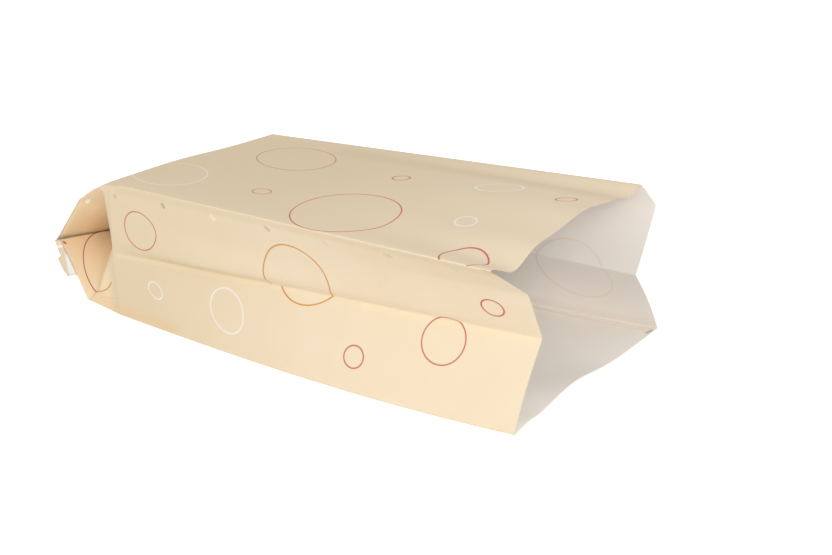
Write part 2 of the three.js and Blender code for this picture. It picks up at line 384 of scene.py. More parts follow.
    def wall_end(self, level: Level, side: Side, t: np.ndarray, q: np.ndarray, old: np.ndarray) -> np.ndarray:
        """Lets the side wall run on past the hinge, up to the fold where it really turns in.

        Args:
            level: Upper or lower half of the folded-in side.
            side: Front or back.
            t: Shares from the hinge to the seam, one for each row.
            q: Places across for each row, 0 at the strip's edge and 1 at the centre fold.
            old: The folded-in side as if it turned in at the hinge.

        Returns:
            Points, rows by columns.
        """
        c = self.corners()
        wall = WALL_ENDS[level]
        turn = np.clip(wall.across * (1 - t / wall.until), 0, 1)[:, None]
        down = c["hinge_fold" + side.value] - c["hinge_" + level.value + side.value]
        edge = self.strip_edge(level, side, t)[:, None, :]
        lean = np.array([0, side.inward * wall.lean * self.end_strip, 0]) * t[:, None, None]
        run_to_turn, run_on = (edge + down * at[..., None] + lean * np.minimum(at / 0.15, 1)[..., None]
                               for at in (turn, q))
        at_turn = np.array([[[np.interp(turn[i, 0], q[i], old[i, :, axis]) for axis in range(3)]]
                            for i in range(len(t))])
        rest = np.clip((q - turn) / np.maximum(1 - turn, 1e-6), 0, 1)
        moved = old + (run_to_turn - at_turn) * (1 - rest)[..., None]
        return np.where((q <= turn)[..., None], run_on, moved)

    def seam_sink(self, t: np.ndarray, s: np.ndarray) -> np.ndarray:
        """How far a closing strip sinks between its side edges.

        Args:
            t: Shares from the hinge to the seam.
            s: Shares of the strip's width.

        Returns:
            Depths in millimetres.
        """
        return self.seam_dip * self.gusset_half * t * edge_fade(s, self.gusset_half / self.panel_width)

    def corner_return(self, t: np.ndarray, from_edge: np.ndarray) -> np.ndarray:
        """How far the low strip lies back from the shift of its corners at the seam.

        Args:
            t: Shares from the hinge to the seam.
            from_edge: Millimetres from the strip's side edge.

        Returns:
            One step for each place, in millimetres.
        """
        past_knee = np.clip((t - LOW_KNEE) / (1 - LOW_KNEE), 0, 1)
        share = past_knee * (1 - bump_curve(from_edge, 0, self.low_corner_reach))
        return share[..., None] * np.array(self.low_corner_shift)

    def shares(self, count: int, length: float) -> np.ndarray:
        """Column places on one panel, with a close pair at each crease.

        Args:
            count: Number of columns, the closing one left out.
            length: Width of the panel in millimetres.

        Returns:
            Shares from 0, without 1, as one row.
        """
        edge = self.crease_radius / length
        return np.concatenate([[0.0], np.linspace(edge, 1 - edge, count - 1)])[None, :]

    def flat_places(self, rows: NetRows, around: np.ndarray) -> np.ndarray:
        """Places on the flat sheet.

        Args:
            rows: Rows of the grid.
            around: Millimetres round the bag for each column.

        Returns:
            Millimetres from the hinge and round the bag for each point.
        """
        along = np.concatenate([rows.u * self.body_length, -rows.t * self.end_strip])[:, None]
        return np.stack(np.broadcast_arrays(along, around), axis=-1)

    def panel(self, level: Level, rows: NetRows) -> tuple[np.ndarray, np.ndarray]:
        """A wide panel with its closing strip.

        Args:
            level: Top or bottom.
            rows: Rows of the grid.

        Returns:
            Points in millimetres and their places on the flat sheet.
        """
        top = level is Level.TOP
        w = self.panel_width
        s = self.shares(self.top_columns if top else self.low_columns, w)
        start, end = (np.concatenate([self.body_crease(level.value + side.value, rows.u),
                                      self.strip_edge(level, side, rows.t)])[:, None, :]
                      for side in ((Side.FRONT, Side.BACK) if top else (Side.BACK, Side.FRONT)))
        points = mix(start, end, s)
        u, t = rows.whole()
        apart = self.layer_gap * np.clip(t / 0.15, 0, 1) * edge_fade(s, 2 / w)
        sunk = self.seam_sink(t, s)
        if top:
            points[..., 2] += self.panel_wave(level, u, s) * (1 - t) - sunk + apart
        else:
            points -= self.corner_return(t, np.minimum(s, 1 - s) * w)
            points[..., 2] += self.panel_wave(level, u, 1 - s) - sunk - apart
            points[..., 2] = np.maximum(points[..., 2], self.floor_gap)
        return points, self.flat_places(rows, (0 if top else w + 2 * self.gusset_half) + w * s)

    def gusset(self, level: Level, side: Side, crease: float, way: int,
               rows: NetRows) -> list[tuple[np.ndarray, np.ndarray]]:
        """Half of a side gusset with its folded-in end, as two strips that meet at its kink.

        Args:
            level: Upper or lower half.
            side: Front or back.
            crease: Place of its long crease, in millimetres round the bag.
            way: 1 if the grid runs from the crease to the centre fold, and -1 if it runs back.
            rows: Rows of the grid.

        Returns:
            Points and places on the flat sheet for each strip.
        """
        c = self.corners()
        inner = c["seam_inner" + side.value]
        kink = np.concatenate([0.03 + 0.33 * rows.u, np.maximum(rows.t, 0.03)])[:, None]
        marks_and_painted_light = (0 * kink, kink, np.ones_like(kink))
        lines = (self.strip_edge(level, side, rows.t),
                 mix(c["hinge_" + level.value + side.value], inner, rows.t),
                 mix(c["hinge_fold" + side.value], inner, rows.t))
        across, ends = [], []
        for number, (count, width) in list(enumerate(self.kink_columns))[::way]:
            s = self.shares(count, width)
            first, last = (number, number + 1)[::way]
            across.append(marks_and_painted_light[first] + (marks_and_painted_light[last] - marks_and_painted_light[first]) * s)
            ends.append(mix(lines[first][:, None, :], lines[last][:, None, :], s))
        body_rows = len(rows.u)
        end_share = np.concatenate(across, axis=1)[body_rows:, ::way]
        end = self.wall_end(level, side, rows.t, end_share, np.concatenate(ends, axis=1)[:, ::way])[:, ::way]
        strips = []
        for share, part in zip(across, np.split(end, [ends[0].shape[1]], axis=1)):
            body = self.gusset_half_at(level, side, rows.u, share[:body_rows])
            places = self.flat_places(rows, crease + way * self.gusset_half * share)
            strips.append((np.concatenate([body, part]), places))
        return strips

    def net(self) -> tuple[np.ndarray, np.ndarray]:
        """The sheet as one grid: rows from the mouth to the seam, columns round from the top front crease.

        Returns:
            Points in millimetres and their places on the flat sheet.
        """
        w, whole_gusset = self.panel_width, 2 * self.gusset_half
        rows = NetRows(np.concatenate([[1.0, 0.9985], np.linspace(0.993, 0.006, 150), [0.002, 0.0]]),
                       np.concatenate([[0.012], np.linspace(0.04, 0.985, 44), [0.998]]))
        parts = [self.panel(Level.TOP, rows),
                 *self.gusset(Level.TOP, Side.BACK, w, 1, rows),
                 *self.gusset(Level.LOW, Side.BACK, w + whole_gusset, -1, rows),
                 self.panel(Level.LOW, rows),
                 *self.gusset(Level.LOW, Side.FRONT, 2 * w + whole_gusset, 1, rows),
                 *self.gusset(Level.TOP, Side.FRONT, 2 * w + 2 * whole_gusset, -1, rows)]
        points = np.concatenate([part for part, _ in parts], axis=1)
        flat = np.concatenate([places for _, places in parts], axis=1)
        for start in np.cumsum([0] + [part.shape[1] for part, _ in parts[:-1]]):
            mean = (points[:, start - 1] + points[:, (start + 1) % points.shape[1]]) / 2
            points[:, start] = (points[:, start] + mean) / 2
        return points, flat

    def strip_row(self, level: Level, t: np.ndarray, q: np.ndarray) -> np.ndarray:
        """A row across a closing strip.

        Args:
            level: Top or low strip.
            t: Share from the hinge to the seam for each place.
            q: Places across, from the front.

        Returns:
            One point for each place.
        """
        row = mix(self.strip_edge(level, Side.FRONT, t), self.strip_edge(level, Side.BACK, t), q)
        row[:, 2] -= self.seam_sink(t, q)
        return row

    def flap_net(self) -> tuple[np.ndarray, np.ndarray]:
        """The fold-over: from the seam's upper face, round it, and back beneath the low strip.

        Returns:
            Points in millimetres and their places on the flat sheet.
        """
        q = np.concatenate([np.linspace(0, 0.2, 24), np.linspace(0.22, 1, 40)])
        around = np.concatenate([np.linspace(-6, -1, self.flap_side), q * self.panel_width])
        rows, along = [], []
        for t, step in ((0.985, (-0.1, 0, 0.12)), (1.0, (-0.3, 0, 0))):
            row = self.strip_row(Level.TOP, np.full_like(q, t), q) + np.array(step)
            rows.append(np.concatenate([np.repeat(row[:1], self.flap_side, axis=0), row]))
            along.append(-t * self.end_strip)
        for s in np.concatenate([np.linspace(0, 0.44, 8), np.linspace(0.49, 1, 10)]):
            reach = 1 - self.flap_corner_cut * (1 - np.minimum(q / 0.4, 1))
            t = 1 - s * reach * self.fold_over / self.end_strip
            row = self.strip_row(Level.LOW, t, q) - self.corner_return(t, q * self.panel_width)
            at_corner = np.interp(s, self.flap_shares, self.flap_stands) - self.flap_close
            stand = self.flap_close + at_corner * bump_curve(q, 0, self.flap_corner)
            away = row + np.array(self.flap_way) * stand[:, None]
            away[:, 2] = np.maximum(away[:, 2], self.layer_gap)
            side = mix(row[0], away[0], np.linspace(-0.03, 0.95, self.flap_side))
            rows.append(np.concatenate([side, away]))
            along.append(-self.end_strip - s * self.fold_over)
        return np.array(rows), np.stack(np.broadcast_arrays(np.array(along)[:, None], around), axis=-1)


class SheetMesh:
    """Turns the sheet's nets into meshes that stand in the CAD model's own place."""

    def __init__(self, sheet: OpenSheet) -> None:
        """Works out where the sheet's own origin lies in the row's frame.

        Args:
            sheet: The sheet to place.
        """
        self.sheet = sheet
        self.points, self.flat = sheet.net()
        self.flap_points, self.flap_flat = sheet.flap_net()
        low, high = (np.array(corner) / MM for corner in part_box(NODE))
        every = np.concatenate([self.points.reshape(-1, 3), self.flap_points.reshape(-1, 3)])
        own_low, own_high = every.min(axis=0), every.max(axis=0)
        self.shift = np.array([(low[0] + high[0] - own_low[0] - own_high[0]) / 2,
                               (low[1] + high[1] - own_low[1] - own_high[1]) / 2,
                               low[2] - own_low[2]])
        LOG.info("sheet origin in the row frame, mm: %s", np.round(self.shift, 2))

    def placed(self, points: np.ndarray) -> np.ndarray:
        """Points of the sheet in the row's frame.

        Args:
            points: Points from the sheet's own origin, in millimetres.

        Returns:
            The points in metres.
        """
        return (points + self.shift) * MM

    @staticmethod
    def grid_faces(rows: int, columns: int, closed: bool, first: int) -> list[tuple[int, int, int, int]]:
        """Faces of a grid of points, turned so that they face outwards.

        Args:
            rows: Number of rows.
            columns: Number of columns.
            closed: True if the last column joins the first.
            first: Index of the grid's first point.

        Returns:
            Four point indices for each face.
        """
        index = first + np.arange(rows * columns).reshape(rows, columns)
        if closed:
            index = np.concatenate([index, index[:, :1]], axis=1)
        corners = (index[:-1, :-1], index[:-1, 1:], index[1:, 1:], index[1:, :-1])
        return [tuple(face) for face in np.stack(corners, axis=-1).reshape(-1, 4).tolist()]

    def build(self, name: str, materials: Sequence[bpy.types.Material]) -> bpy.types.Object:
        """The whole sheet as one piece, with its two faces and its cut edge.

        Args:
            name: Name of the piece.
            materials: Finish for each Face.

        Returns:
            The new piece.
        """
        rows, columns = self.points.shape[:2]
        faces = self.grid_faces(rows, columns, True, 0)
        net_faces = len(faces)
        faces += self.grid_faces(*self.flap_points.shape[:2], False, rows * columns)
        places = np.concatenate([self.flat.reshape(-1, 2), self.flap_flat.reshape(-1, 2)])[np.array(faces)]
        closing = np.arange(columns - 1, net_faces, columns)
        places[closing, 1:3, 1] = 2 * (self.sheet.panel_width + 2 * self.sheet.gusset_half)
        every = np.concatenate([self.points.reshape(-1, 3), self.flap_points.reshape(-1, 3)])
        mesh = bpy.data.meshes.new(name)
        mesh.from_pydata(self.placed(every).tolist(), [], faces)
        layer = mesh.uv_layers.new(name=SHEET_UV)
        layer.data.foreach_set("uv", places.astype(np.float32).ravel())
        for material in materials:
            mesh.materials.append(material)
        mesh.polygons.foreach_set("use_smooth", [True] * len(mesh.polygons))
        piece = new_object(name, mesh)
        wall = piece.modifiers.new("wall", "SOLIDIFY")
        wall.thickness = self.sheet.thickness * MM
        wall.offset = -1
        wall.material_offset = Face.INSIDE.value
        wall.material_offset_rim = Face.CUT.value
        return apply_modifiers(piece)


def new_object(name: str, data: bpy.types.ID) -> bpy.types.Object:
    """Puts a mesh, a lamp or a camera into the scene.

    Args:
        name: Name of the object.
        data: What it shows.

    Returns:
        The new object.
    """
    made = bpy.data.objects.new(name, data)
    bpy.context.scene.collection.objects.link(made)
    return made


def apply_modifiers(piece: bpy.types.Object) -> bpy.types.Object:
    """Makes what a piece's modifiers show its own plain mesh.

    Args:
        piece: The piece to settle.

    Returns:
        The same piece.
    """
    graph = bpy.context.evaluated_depsgraph_get()
    settled = bpy.data.meshes.new_from_object(piece.evaluated_get(graph))
    settled.name = piece.name
    piece.modifiers.clear()
    piece.data = settled
    return piece


class NodeSheet:
    """A small helper that places and links nodes of one tree."""

    def __init__(self, tree: bpy.types.NodeTree) -> None:
        """Keeps the tree that the nodes go into.

        Args:
            tree: The tree.
        """
        self.tree = tree

    def node(self, kind: str, inputs: dict | None = None, **facts: object) -> bpy.types.Node:
        """A new node.

        Args:
            kind: Blender's node type.
            inputs: Socket name or number to a value or to another node's output.
            facts: Properties of the node.

        Returns:
            The node.
        """
        made = self.tree.nodes.new(kind)
        for key, value in facts.items():
            setattr(made, key, value)
        self.fill(made, inputs or {})
        return made

    def fill(self, made: bpy.types.Node, inputs: dict) -> None:
        """Sets or links a node's inputs.

        Args:
            made: The node.
            inputs: Socket name or number to a value or to another node's output.
        """
        for key, value in inputs.items():
            if isinstance(value, bpy.types.NodeSocket):
                self.tree.links.new(value, made.inputs[key])
            else:
                made.inputs[key].default_value = value

    def out(self, kind: str, inputs: dict | None = None, **facts: object) -> bpy.types.NodeSocket:
        """The first output of a new node, which takes what node() takes.

        Args:
            kind: Blender's node type.
            inputs: Its inputs.
            facts: Its properties.

        Returns:
            The output socket.
        """
        return self.node(kind, inputs, **facts).outputs[0]

    def math(self, operation: str, *values: Value, clamp: bool = False) -> bpy.types.NodeSocket:
        """The output of a Math node.

        Args:
            operation: Its operation.
            values: Numbers or outputs.
            clamp: True to keep the result from 0 to 1.

        Returns:
            The output socket.
        """
        return self.out("ShaderNodeMath", dict(enumerate(values)), operation=operation, use_clamp=clamp)

    def vector(self, operation: str, a: Value, b: Value, output: str = "Vector") -> bpy.types.NodeSocket:
        """The output of a Vector Math node.

        Args:
            operation: Its operation.
            a: First output.
            b: Second output.
            output: Vector, or Value for an operation that gives a number.

        Returns:
            The output socket.
        """
        return self.node("ShaderNodeVectorMath", {0: a, 1: b}, operation=operation).outputs[output]

    def blend(self, share: Value, a: Value | Colour, b: Value | Colour) -> bpy.types.NodeSocket:
        """A colour between a and b.

        Args:
            share: Number or output, 0 for a and 1 for b.
            a: Colour or output.
            b: Colour or output.

        Returns:
            The output socket.
        """
        made = self.node("ShaderNodeMix", {0: share, 6: a, 7: b}, data_type="RGBA")
        return made.outputs[2]


def srgb(red: int, green: int, blue: int) -> Colour:
    """A colour in Blender's linear numbers from the 0 to 255 numbers of a screen.

    Args:
        red: Red, 0 to 255.
        green: Green, 0 to 255.
        blue: Blue, 0 to 255.

    Returns:
        Linear red, green, blue and alpha.
    """
    shares = (value / 255 for value in (red, green, blue))
    return *(share / 12.92 if share <= 0.04045 else ((share + 0.055) / 1.055) ** 2.4 for share in shares), 1.0


@dataclass(frozen=True)
class Ring:
    """A printed ring on the flat sheet, in millimetres from the hinge and round the bag."""

    along: float
    around: float
    radius: float
    stretch: float = 1.0
    line: float = 0.62
    lean: float = 0.0
    first: tuple[float, float] = (-80, -10)
    last: tuple[float, float] = (240, 410)


@dataclass(frozen=True)
class RingPrint:
    """The rings of one ink."""

    colour: Colour
    rings: tuple[Ring, ...]


@dataclass(frozen=True)
class Stroke:
    """A soft mark on the flat sheet between two places: a glue dot or a seam line, and also painted light: a
    painted highlight along a fold, painted shade along a crease or valley, a painted band of bounced light.
    """

    start: tuple[float, float]
    end: tuple[float, float]
    half: float
    soft: float
    colour: Colour
    strength: float = 1.0


RED = srgb(196, 100, 84)
ORANGE_RED = srgb(201, 112, 74)
OCHRE = srgb(208, 146, 68)
PLUM = srgb(168, 84, 84)
WHITE = srgb(236, 231, 228)

PRINTS = (
    RingPrint(WHITE, (
        Ring(18.3, 24.7, 24.6, 0.654, 0.6, -0.078, (0, 0), (235, 120)),
        Ring(178.7, 83.7, 9.7, 0.835, 0.75, 0.337), Ring(191.5, 38.9, 4.75, 1.095, 0.8, -0.12),
        Ring(29.3, 342.7, 4.9, 0.895, 0.62, -0.239), Ring(76.5, 342.1, 10.4, 1.04, 0.62, -0.233),
        Ring(118, 230, 16, 1.0, 0.8), Ring(40, 300, 9, 1.0, 0.8), Ring(60, 178, 10, 1.0, 0.8),
    )),
    RingPrint(ORANGE_RED, (
        Ring(55.7, 79.5, 26.7, 0.769, 0.62, -0.225), Ring(83.6, 25.9, 5.2, 0.682, 0.62),
        Ring(129.6, 74.2, 4.2, 1.0, 0.7, 0.036), Ring(214.3, 81.3, 4.0, 1.014, 0.7, 0.326),
    )),
    RingPrint(RED, (
        Ring(138.2, 23.4, 25.4, 0.912, 0.62, 0.01),
        Ring(211.7, 9.3, 9.7, 1.257, 0.7, -0.251, (-80, 0), (235, 60)),
        Ring(21.4, 376.2, 11.2, 0.932, 0.58, -0.119), Ring(213.4, 373.5, 4.55, 1.0, 0.7, 0.03),
        Ring(150.1, 336.3, 5.0, 1.01, 0.65), Ring(189.9, 351.4, 9.8, 1.0, 0.58, -0.03),
        Ring(190, 262, 20), Ring(70, 215, 6), Ring(34, 250, 18), Ring(95, 140, 8), Ring(-30, 70, 12),
    )),
    RingPrint(OCHRE, (
        Ring(116.9, 367.1, 17.7, 1.09, 0.7, 0.109, (-80, 360)),
        Ring(121.4, 371.4, 18.4, 0.961, 0.7, 0.202, (-80, -10), (240, 360)),
        Ring(-26, 348.5, 24, 1.0, 0.6, 0.0, (-20.0, 318.0), (-0.5, 339.0)),
        Ring(195.5, 168, 19.3, 0.92, 0.8), Ring(150, 290, 12, 1.0, 0.8),
    )),
    RingPrint(PLUM, (Ring(-26, 348.5, 24, 1.0, 0.5, 0.0, (-50.0, 318.0), (-20.0, 360.0)),)),
)

SHOW_THROUGH = (RingPrint(srgb(240, 218, 202), (Ring(195.5, 168, 19.3, 0.92, 0.9),)),)

GLUE = srgb(196, 182, 152)
# Pale tone: the painted highlight along the top front crease, and also one pale glue dot.
PALE = srgb(246, 232, 205)
# Outside strokes: glue dots, a printed red dot, the seam's orange line and the flap's pale side, together
# with painted highlights, painted shade and painted warm bounce light.
OUTSIDE_MARKS_AND_PAINTED_LIGHT = (
    # Painted highlight along the top front crease, on both sides of where the sheet closes; the light line
    # also stands for the overlapped cut edge there.
    Stroke((8, 400.2), (229, 400.2), 0.3, 0.4, PALE, 0.75),
    Stroke((8, 0.1), (229, 0.1), 0.4, 0.4, PALE, 0.75),
    # Painted shade just below the top front crease.
    Stroke((6, 397.6), (229, 397.6), 0.8, 2.4, srgb(214, 192, 155), 0.3),
    # Painted shade: the lower front gusset darker towards the folded end.
    Stroke((-12, 338), (10, 338), 15, 100, srgb(219, 200, 166), 0.8),
    # Painted shade: the top panel darker towards the folded end.
    Stroke((-10, 60), (60, 60), 40, 150, srgb(219, 199, 166), 0.75),
    # Painted warm light over the folded end's facets, standing for light bounced between them.
    Stroke((-29, 0), (-29, 400), 20.0, 7.0, srgb(240, 217, 182), 1.0),
    # Painted warm light bands just below the front centre fold, standing for light bounced onto the lower
    # half.
    Stroke((4, 358.4), (150, 358.8), 0.4, 1.7, srgb(240, 220, 182), 0.35),
    Stroke((150, 358.8), (229, 358.8), 0.6, 2.0, srgb(246, 224, 184), 0.3),
    # Painted shade along the valley near the back edge of the top panel.
    Stroke((70, 104), (226, 98), 2.0, 9.0, srgb(206, 186, 152), 0.3),
    Stroke((3.9, 394.4), (4.3, 393.4), 0.75, 0.4, GLUE, 0.75),
    Stroke((40.4, 394.4), (40.9, 393.4), 0.95, 0.5, srgb(186, 174, 142), 0.9),
    Stroke((74.6, 394.0), (75.6, 393.0), 1.1, 0.7, PALE, 0.5),
    Stroke((109.9, 394.6), (110.6, 393.8), 0.95, 0.5, GLUE, 0.75),
    Stroke((143, 394), (143.8, 393), 1.0, 0.6, GLUE, 0.2),
    Stroke((175.8, 394.6), (176.5, 393.6), 0.5, 0.4, srgb(206, 186, 146), 0.6),
    Stroke((177.8, 394.6), (178.5, 393.6), 0.5, 0.4, srgb(206, 186, 146), 0.6),
    Stroke((208.4, 394.6), (209.2, 393.8), 0.8, 0.5, GLUE, 0.2),
    Stroke((-23.8, 394.6), (-21.8, 395.4), 0.9, 0.4, srgb(252, 243, 228), 1.0),
    # Painted warm shade where the lower front gusset rounds under towards the floor at the end, and a painted
    # shade line for the soft crease above it.
    Stroke((-14, 321.5), (40, 321.5), 2.0, 6.0, srgb(226, 190, 146), 0.4),
    Stroke((-13.6, 324.4), (0.4, 330.4), 0.25, 0.6, srgb(214, 180, 138), 0.2),
    Stroke((226.6, 399.6), (229.4, 398.6), 0.7, 0.4, srgb(205, 182, 146), 0.8),
    Stroke((-48.4, 321.6), (-47.8, 322.4), 0.5, 0.3, srgb(180, 70, 60), 0.8),
    Stroke((-54, -6), (-54.4, 0), 0.6, 0.4, srgb(244, 240, 234), 0.9),
    Stroke((-60.5, -7.2), (-72, -4.6), 2.1, 0.5, srgb(238, 234, 228), 0.95),
    Stroke((-49.4, 360), (-1, 360), 0.25, 0.35, srgb(216, 160, 104), 0.9),
)
# Inside strokes: a soft greyer field on the back gusset near the mouth, the peach line of the glue seam,
# painted shade along the back crease, and a grey bit of the seam's layered edge.
INNER_MARKS_AND_PAINTED_SHADE = (
    Stroke((235, 130), (235, 190), 8.0, 45.0, srgb(226, 218, 209), 0.6),
    Stroke((130, 201.6), (229, 205.4), 0.3, 0.7, srgb(238, 212, 192), 0.4),
    # Painted shade along the inside of the bottom panel's back crease.
    Stroke((120, 197.4), (229, 198.4), 1.0, 5.0, srgb(226, 214, 198), 0.35),
    Stroke((228.6, 203.5), (228.2, 207.5), 0.5, 0.5, srgb(176, 168, 172), 0.8),
)


class ShaderGroups:
    """Node groups that the finishes share, each made once."""

    def __init__(self) -> None:
        """Makes every group."""
        self.ring = self._ring()
        self.stroke = self._stroke()
        self.fibre = self._fibre()

    @staticmethod
    def _start(name: str, inputs: Sequence[tuple[str, float | None]],
               outputs: Sequence[str]) -> tuple[bpy.types.NodeTree, Sequence, bpy.types.Node]:
        """A new group with its sockets.

        Args:
            name: Name of the group.
            inputs: Name and first value of each input, which is a vector if it has no value.
            outputs: Names of the outputs, all numbers.

        Returns:
            The tree, its inputs as they come in, and its output node.
        """
        tree = bpy.data.node_groups.new(name, "ShaderNodeTree")
        for label, value in inputs:
            kind = "NodeSocketVector" if value is None else "NodeSocketFloat"
            socket = tree.interface.new_socket(name=label, in_out="INPUT", socket_type=kind)
            if value is not None:
                socket.default_value = value
        for label in outputs:
            tree.interface.new_socket(name=label, in_out="OUTPUT", socket_type="NodeSocketFloat")
        return tree, tree.nodes.new("NodeGroupInput").outputs, tree.nodes.new("NodeGroupOutput")

    def _ring(self) -> bpy.types.NodeTree:
        """Mask of one thin printed ring, kept between two corners of the flat sheet.

        Returns:
            The group, whose output is 1 on the line.
        """
        tree, given, sink = self._start(
            "printed_ring",
            (("Sheet", None), ("Centre", None), ("Radius", 10.0), ("Stretch", 1.0), ("Lean", 0.0),
             ("Line", 0.4), ("First", None), ("Last", None)),
            ("Mask",))
        n = NodeSheet(tree)
        offset = n.vector("SUBTRACT", given["Sheet"], given["Centre"])
        parts = n.node("ShaderNodeSeparateXYZ", {0: offset}).outputs
        level = n.math("SUBTRACT", parts[1], n.math("MULTIPLY", parts[0], given["Lean"]))
        across = n.math("DIVIDE", level, given["Stretch"])
        distance = n.math("SQRT", n.math("ADD", n.math("MULTIPLY", parts[0], parts[0]),
                                         n.math("MULTIPLY", across, across)))
        off = n.math("ABSOLUTE", n.math("SUBTRACT", distance, given["Radius"]))
        share = n.math("DIVIDE", off, given["Line"])
        mask = n.math("SUBTRACT", 1.5, n.math("MULTIPLY", share, 2.0), clamp=True)
        place, first, last = (n.node("ShaderNodeSeparateXYZ", {0: given[label]}).outputs
                              for label in ("Sheet", "First", "Last"))
        for axis in (0, 1):
            mask = n.math("MULTIPLY", mask, n.math("GREATER_THAN", place[axis], first[axis]))
            mask = n.math("MULTIPLY", mask, n.math("LESS_THAN", place[axis], last[axis]))
        tree.links.new(mask, sink.inputs["Mask"])
        return tree

    def _stroke(self) -> bpy.types.NodeTree:
        """Mask of one soft stroke between two places of the flat sheet.

        Returns:
            The group, whose output is 1 on the stroke.
        """
        tree, given, sink = self._start(
            "soft_stroke", (("Sheet", None), ("Start", None), ("End", None), ("Half", 1.0), ("Soft", 1.0)),
            ("Mask",))
        n = NodeSheet(tree)
        way = n.vector("SUBTRACT", given["End"], given["Start"])
        offset = n.vector("SUBTRACT", given["Sheet"], given["Start"])
        share = n.math("DIVIDE", n.vector("DOT_PRODUCT", offset, way, "Value"),
                       n.vector("DOT_PRODUCT", way, way, "Value"), clamp=True)
        foot = n.node("ShaderNodeVectorMath", {0: way, "Scale": share}, operation="SCALE").outputs["Vector"]
        distance = n.vector("DISTANCE", offset, foot, "Value")
        beyond = n.math("DIVIDE", n.math("SUBTRACT", distance, given["Half"]), given["Soft"])
        mask = n.math("SUBTRACT", 1.0, beyond, clamp=True)
        tree.links.new(mask, sink.inputs["Mask"])
        return tree

    def _fibre(self) -> bpy.types.NodeTree:
        """Fine grain and slow clouds of a paper sheet.

        Returns:
            The group, with a cloud value and a grain value about 0.5.
        """
        tree, given, sink = self._start(
            "paper_fibre", (("Sheet", None), ("Grain scale", 1.6)), ("Cloud", "Grain"))
        n = NodeSheet(tree)
        for label, scale, detail in (("Cloud", 0.045, 3.0), ("Grain", given["Grain scale"], 4.0)):
            noise = n.out("ShaderNodeTexNoise", {"Vector": given["Sheet"], "Scale": scale, "Detail": detail})
            tree.links.new(noise, sink.inputs[label])
        return tree


@dataclass(frozen=True)
class PaperFinish:
    """One face of the sheet: its colour, its print, its strokes of real dots and lines and of painted light
    and shade, and how its fibres show.
    """

    name: str
    colour: Colour
    shade: Colour
    roughness: float
    prints: tuple[RingPrint, ...] = ()
    marks_and_painted_light: tuple[Stroke, ...] = ()
    show: float = 1.0
    grain_strength: float = 0.12
    grain_height: float = 0.0002

    def material(self, groups: ShaderGroups) -> bpy.types.Material:
        """The finish as a material.

        Args:
            groups: The shared node groups.

        Returns:
            The material.
        """
        made = bpy.data.materials.new(self.name)
        made.use_nodes = True
        tree = made.node_tree
        n = NodeSheet(tree)
        sheet = n.out("ShaderNodeUVMap", uv_map=SHEET_UV)
        fibre = n.node("ShaderNodeGroup", {"Sheet": sheet}, node_tree=groups.fibre)
        colour = n.blend(fibre.outputs["Cloud"], self.colour, self.shade)
        # Strokes of real dots and lines and of painted highlights and shade, each blended over the colour.
        for mark in self.marks_and_painted_light:
            one = n.node("ShaderNodeGroup", {
                "Sheet": sheet, "Start": (*mark.start, 0), "End": (*mark.end, 0), "Half": mark.half,
                "Soft": mark.soft}, node_tree=groups.stroke)
            colour = n.blend(n.math("MULTIPLY", one.outputs["Mask"], mark.strength), colour, mark.colour)
        for ink in self.prints:
            mask = 0.0
            for ring in ink.rings:
                one = n.node("ShaderNodeGroup", {
                    "Sheet": sheet, "Centre": (ring.along, ring.around, 0), "Radius": ring.radius,
                    "Stretch": ring.stretch, "Line": ring.line, "Lean": ring.lean,
                    "First": (*ring.first, 0), "Last": (*ring.last, 0)}, node_tree=groups.ring)
                mask = n.math("MAXIMUM", mask, one.outputs["Mask"])
            colour = n.blend(n.math("MULTIPLY", mask, self.show), colour, ink.colour)
        height = n.out("ShaderNodeBump", {"Strength": self.grain_strength, "Distance": self.grain_height,
                                          "Height": fibre.outputs["Grain"]})
        n.fill(tree.nodes["Principled BSDF"], {"Base Color": colour, "Normal": height,
                                               "Roughness": self.roughness, "Specular IOR Level": SPECULAR})
        return made


